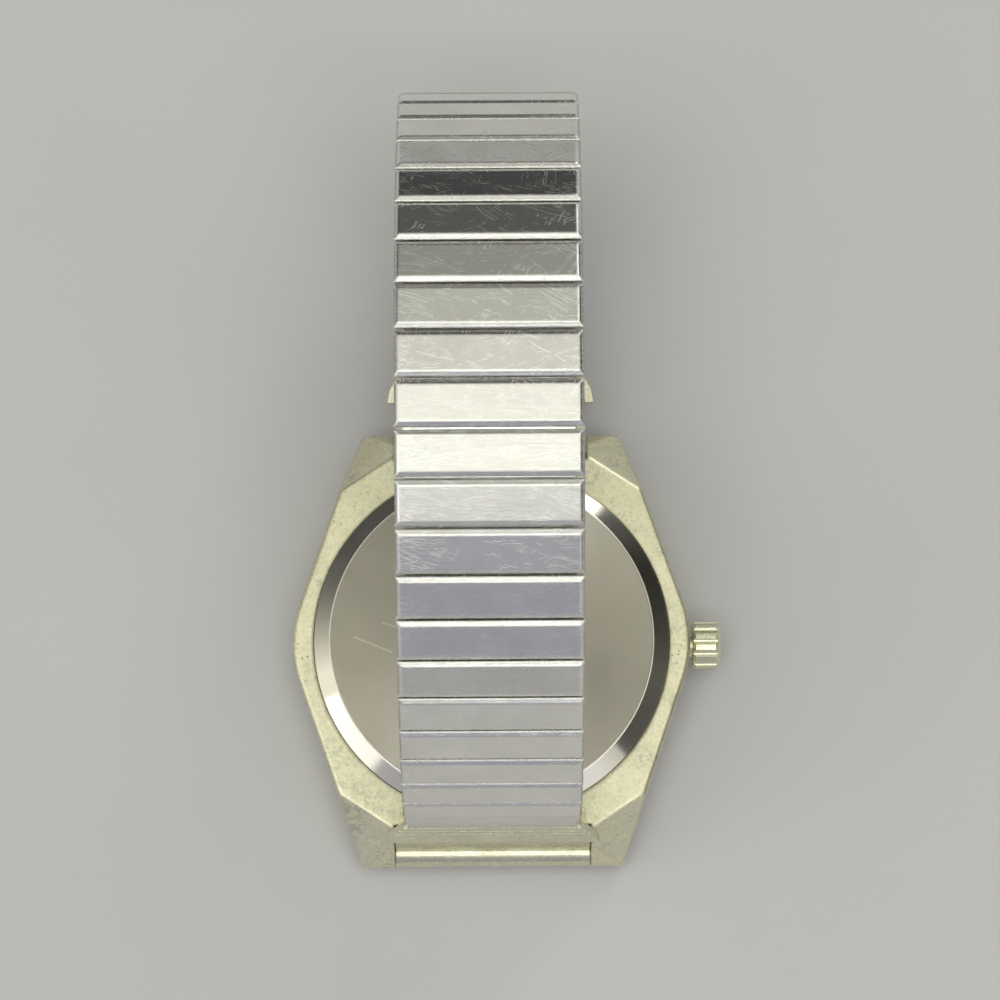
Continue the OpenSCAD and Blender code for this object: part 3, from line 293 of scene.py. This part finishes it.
ring_plastic = moulded("ring_plastic", (0.82, 0.80, 0.73), (0.76, 0.74, 0.67), 0.5)


# The crown is gilded from this X outwards
CROWN_START = 18.55 * MM


def crown_gold():
    """Gilding on the crown, and steel on the stem behind it."""
    s = metal("crown_gold", (0.95, 0.93, 0.70), (0.86, 0.84, 0.62), 0.26, grain_height=1.0, edge=0.08,
              pits=0.3, mottle=4.0, blotch=500)
    s.two_tone(s.math("LESS_THAN", s.xyz(s.coord)[0], CROWN_START), (0.62, 0.62, 0.60))
    return s


# How far from its spring bar the gilding of an end piece reaches
GILT_REACH = 8.72 * MM


def end_gold():
    """Gilding on the end pieces, and steel on what hangs on them."""
    s = metal("end_gold", (0.90, 0.88, 0.68), (0.78, 0.76, 0.58), 0.24, grain=(600, 5000, 5000),
              grain_height=0.8, edge=0.10, scratch=0.7, spacing=0.08, mottle=3.0)
    _, y, z = s.xyz(s.coord)
    outwards = s.math("SUBTRACT", s.math("ABSOLUTE", y), BAR_Y)
    upwards = s.math("SUBTRACT", z, BAR_Z)
    s.two_tone(s.math("GREATER_THAN", s.distance(outwards, upwards), GILT_REACH), (0.74, 0.73, 0.70))
    return s


# The case back's flat disc, inside its sloped shoulder, and the turning grooves on both
DISC_RADIUS = 14.8 * MM
GROOVE_SCALE = 3500
# Two scratches on the disc: the ends of each, and half its width, in mm of X and Y
DISC_SCRATCHES = (((-10.07, 1.51), (-8.1, 0.86)), ((-12.64, 0.19), (-9.14, -1.26)))
DISC_SCRATCH_HALF = 0.11


def stroke(s, a, b, half):
    """A scratch on a flat face from a to b, in mm of X and Y: 1 in its middle and 0 at half from it."""
    dx, dy = b[0] - a[0], b[1] - a[1]
    square = (dx * dx + dy * dy) * MM
    x, y, _ = s.xyz(s.coord)
    x = s.math("SUBTRACT", x, a[0] * MM)
    y = s.math("SUBTRACT", y, a[1] * MM)
    # 0 at a and 1 at b
    along = s.math("ADD", s.math("MULTIPLY", x, dx / square), s.math("MULTIPLY", y, dy / square), clamp=True)
    x = s.math("MULTIPLY_ADD", along, -dx * MM, x)
    y = s.math("MULTIPLY_ADD", along, -dy * MM, y)
    return s.remap(s.distance(x, y), 0.0, half * MM, 1.0, 0.0)


def back_steel():
    """The case back: a turned disc, so its grain runs in circles, and a paler, smoother shoulder round it."""
    s = metal("back_steel", (0.58, 0.545, 0.46), (0.54, 0.505, 0.43), 0.42, grain_height=0.0, edge=0.10,
              blotch=90)
    circles = s.add("ShaderNodeTangent", direction_type="RADIAL", axis="Z")
    s.link(circles.outputs[0], s.bsdf.inputs["Tangent"])
    x, y, _ = s.xyz(s.coord)
    radius = s.distance(x, y)
    shoulder = s.math("GREATER_THAN", radius, DISC_RADIUS)
    s.two_tone(shoulder, (0.80, 0.77, 0.68))
    for a, b in DISC_SCRATCHES:
        s.two_tone(stroke(s, a, b, DISC_SCRATCH_HALF), (0.80, 0.77, 0.66))
    gloss = s.math("MULTIPLY", s.fed_by("Roughness"), s.remap(shoulder, 0.0, 1.0, 1.0, 0.36))
    grooves = s.bump(s.stripes(radius, 2.0, GROOVE_SCALE), 0.3 * MICRON, 1.0, s.fed_by("Normal"))
    return s.set(Roughness=gloss, Anisotropic=0.95, Anisotropic_Rotation=0.25, Normal=grooves)


def copper():
    """Enamelled wire laid turn beside turn along X."""
    s = Shader("coil_copper")
    wave = s.add("ShaderNodeTexWave", wave_type="BANDS", bands_direction="X")
    s.link(s.coord, wave.inputs["Vector"])
    wave.inputs["Scale"].default_value = 2600
    wave.inputs["Distortion"].default_value = 0.4
    tint = s.mix(s.noise((1200, 300, 300)), (0.55, 0.21, 0.08), (0.68, 0.32, 0.14))
    normal = s.bump(wave.outputs["Fac"], 30 * MICRON)
    return s.set(Base_Color=tint, Metallic=0.85, Roughness=0.3, Normal=normal, Coat_Weight=0.4)


def board():
    """Green solder resist with paler tracks under it."""
    s = Shader("board_green")
    track = s.remap(s.cells(900, "DISTANCE_TO_EDGE", 0.2), 0.10, 0.16, 1.0, 0.0)
    tint = s.mix(track, (0.02, 0.14, 0.06), (0.06, 0.27, 0.12))
    normal = s.bump(track, 10 * MICRON, 0.7, s.rounded(0.02 * MM))
    return s.set(Base_Color=tint, Roughness=s.remap(track, 0, 1, 0.38, 0.3), Normal=normal)


def glass():
    """The crystal, with hairlines and a little dust."""
    s = Shader("crystal_glass")
    dust = s.noise(2600, 4.0, 0.7)
    normal = s.bump(hairlines(s, 0.1 * MM), 0.8 * MICRON, 0.4)
    return s.set(Base_Color=(0.96, 0.98, 0.98), Transmission_Weight=1.0, IOR=1.5,
                 Roughness=s.remap(dust, 0.62, 0.8, 0.01, 0.12), Normal=normal)


# The dial's minute track, and half the width of the circle along its inner edge
TRACK_INNER, TRACK_OUTER = 13.05 * MM, 13.6 * MM
CIRCLE_HALF = 0.04 * MM
MINUTES = 60.0
# Half the width of a minute's mark, in minutes
TICK_HALF = 0.055
# Broad rays in a full turn; finer ones break them up
RAYS = 260.0


def dial():
    """Silvered sunray dial with a printed minute track near its rim."""
    s = Shader("dial_silver")
    x, y, _ = s.xyz(s.coord)
    radius = s.distance(x, y)
    turn = s.math("DIVIDE", s.math("ARCTAN2", x, y), 2 * math.pi)
    ray = s.stripes(s.math("MULTIPLY", turn, RAYS), 4.0)
    base = s.mix(s.remap(ray, 0.3, 0.7, 0.0, 1.0), (0.80, 0.78, 0.69), (0.68, 0.66, 0.58))
    step = s.math("FRACT", s.math("ADD", s.math("MULTIPLY", turn, MINUTES), MINUTES + 0.5))
    tick = s.math("LESS_THAN", s.math("ABSOLUTE", s.math("SUBTRACT", step, 0.5)), TICK_HALF)
    track = s.math("MULTIPLY", s.math("GREATER_THAN", radius, TRACK_INNER),
                   s.math("LESS_THAN", radius, TRACK_OUTER))
    circle = s.math("LESS_THAN", s.math("ABSOLUTE", s.math("SUBTRACT", radius, TRACK_INNER)), CIRCLE_HALF)
    ink = s.math("MAXIMUM", s.math("MULTIPLY", tick, track), circle)
    bare = s.math("SUBTRACT", 1.0, ink)
    return s.set(Base_Color=s.mix(ink, base, (0.03, 0.03, 0.03)), Metallic=s.math("MULTIPLY", bare, 0.75),
                 Roughness=s.remap(ink, 0, 1, 0.36, 0.5), Normal=s.bump(ray, 4 * MICRON, 0.5))


named = {shader.name: shader.material for shader in (
    case_gold, crown_gold(), end_gold(), back_steel(), band_steel, bare_steel, nickel, cell_steel,
    stator_iron, rotor_magnet, wheel_brass, clip_brass, hand_gold, seal_rubber, ring_plastic, copper(),
    board(), glass(), dial())}
for part in frame["record"]["subparts"]:
    materials = nodes[part["node"]].data.materials
    materials.clear()
    materials.append(named[part["material_slot"]])


# Floor

# Wide enough to fill a view from 8 degrees up, and a hair under the crystal
FLOOR_SIZE = 40.0
FLOOR_Z = -0.1 * MM


def pale_floor():
    """One face, with a faint cloudy grey."""
    half = FLOOR_SIZE / 2
    corners = [(x * half, y * half, FLOOR_Z) for x, y in ((-1, -1), (1, -1), (1, 1), (-1, 1))]
    mesh = bpy.data.meshes.new("floor")
    mesh.from_pydata(corners, [], [(0, 1, 2, 3)])
    s = Shader("floor_pale")
    s.set(Base_Color=s.mix(s.noise(30), (0.46, 0.455, 0.455), (0.49, 0.485, 0.485)), Roughness=0.85)
    mesh.materials.append(s.material)
    piece = bpy.data.objects.new("floor", mesh)
    bpy.context.scene.collection.objects.link(piece)
    return piece


floor = pale_floor()


# Sky

# A plain studio: a dark side, a wide light overhead and a grey side
DARK_SIDE = (0.05, 0.05, 0.05)
OVERHEAD = (0.90, 0.90, 0.80)
GREY_SIDE = (0.35, 0.35, 0.40)
# Where each is, as angles from the vertical towards -Y in degrees; they blend in between
SKY = ((-90, DARK_SIDE), (-65, DARK_SIDE), (0, OVERHEAD), (20, OVERHEAD), (50, GREY_SIDE), (90, GREY_SIDE))
# A factor on it at each X of the unit direction: the light ends towards +X
SIDE = ((-1.0, 1.2), (0.0, 1.0), (0.65, 0.95), (0.75, 0.10), (1.0, 0.10))


def soft_sky():
    """A sky that is brightest near the zenith and darker to the horizon."""
    world = bpy.data.worlds.new("soft")
    bpy.context.scene.world = world
    world.use_nodes = True
    s = Nodes(world.node_tree)
    x, y, z = s.xyz(s.add("ShaderNodeTexCoord").outputs["Generated"])
    lean = s.math("ARCTAN2", s.math("MULTIPLY", y, -1.0), z)
    overhead = s.ramp(s.math("ADD", s.math("DIVIDE", lean, math.pi), 0.5),
                      [(angle / 180 + 0.5, colour) for angle, colour in SKY])
    sideways = s.ramp(s.math("ADD", s.math("MULTIPLY", x, 0.5), 0.5),
                      [(way / 2 + 0.5, (factor, factor, factor)) for way, factor in SIDE])
    background = world.node_tree.nodes["Background"]
    s.link(s.mix(1.0, overhead, sideways, "MULTIPLY"), background.inputs["Color"])
    background.inputs["Strength"].default_value = 1.0


soft_sky()


# Lamps

LAMP_AIM = Vector((0, 10, 30)) * MM


def lamp(name, angle, side, distance, size, power, colour, mirrored=True):
    """A soft panel that faces the watch. angle leans it from the vertical to -Y, side to +X."""
    a, b = math.radians(angle), math.radians(side)
    way = Vector((math.sin(b), -math.sin(a) * math.cos(b), math.cos(a) * math.cos(b)))
    data = bpy.data.lights.new(name, "AREA")
    data.shape = "RECTANGLE"
    data.size, data.size_y = size
    data.energy = power
    data.color = colour
    panel = bpy.data.objects.new(name, data)
    panel.location = LAMP_AIM + way * distance
    panel.rotation_euler = (-way).to_track_quat("-Z", "Y").to_euler()
    panel.visible_glossy = mirrored
    bpy.context.scene.collection.objects.link(panel)


for angle, power in ((-6, 0.12), (9, 0.6), (25, 0.6)):
    lamp("strip", angle, 0, 1.0, (1.0, 0.045), power, (0.98, 1.0, 0.97))
lamp("left", 40, -55, 1.0, (0.5, 0.5), 0.7, (1.0, 0.98, 0.94))
lamp("right", 62, 38, 1.0, (0.5, 0.5), 0.45, (1.0, 0.98, 0.92))
lamp("back", -55, 22, 1.0, (0.25, 1.0), 1.7, (0.96, 1.0, 0.96))
# The fill brightens the floor, and metal doesn't mirror it
lamp("fill", 10, 0, 1.2, (0.9, 0.9), 5.0, (1.0, 0.99, 0.97), mirrored=False)


# Camera

# The point it looks at, near the top of the band's loop, and how far off it is
AIM = Vector((0.85, 4.91, 44.84)) * MM
DISTANCE = 367 * MM
TILT = math.radians(12.6)
ROLL = math.radians(0.35)
# The focal length and the width of the picture, in its pixels
FOCAL_PX = 4371
PICTURE_PX = 1000
SENSOR_MM = 36.0


def place_camera():
    """Looks down, tilted from the vertical, with the picture's top towards +Y."""
    forward = Vector((0, math.sin(TILT), -math.cos(TILT)))
    up = Matrix.Rotation(ROLL, 3, forward) @ Vector((0, math.cos(TILT), math.sin(TILT)))
    right = forward.cross(up)
    data = bpy.data.cameras.new("camera")
    data.sensor_width = SENSOR_MM
    data.lens = FOCAL_PX / PICTURE_PX * SENSOR_MM
    data.clip_start = 0.01
    camera = bpy.data.objects.new("camera", data)
    turned = Matrix((right, up, -forward)).transposed().to_4x4()
    camera.matrix_world = Matrix.Translation(AIM - forward * DISTANCE) @ turned
    bpy.context.scene.collection.objects.link(camera)
    bpy.context.scene.camera = camera


place_camera()
bpy.context.scene.view_settings.view_transform = "Standard"
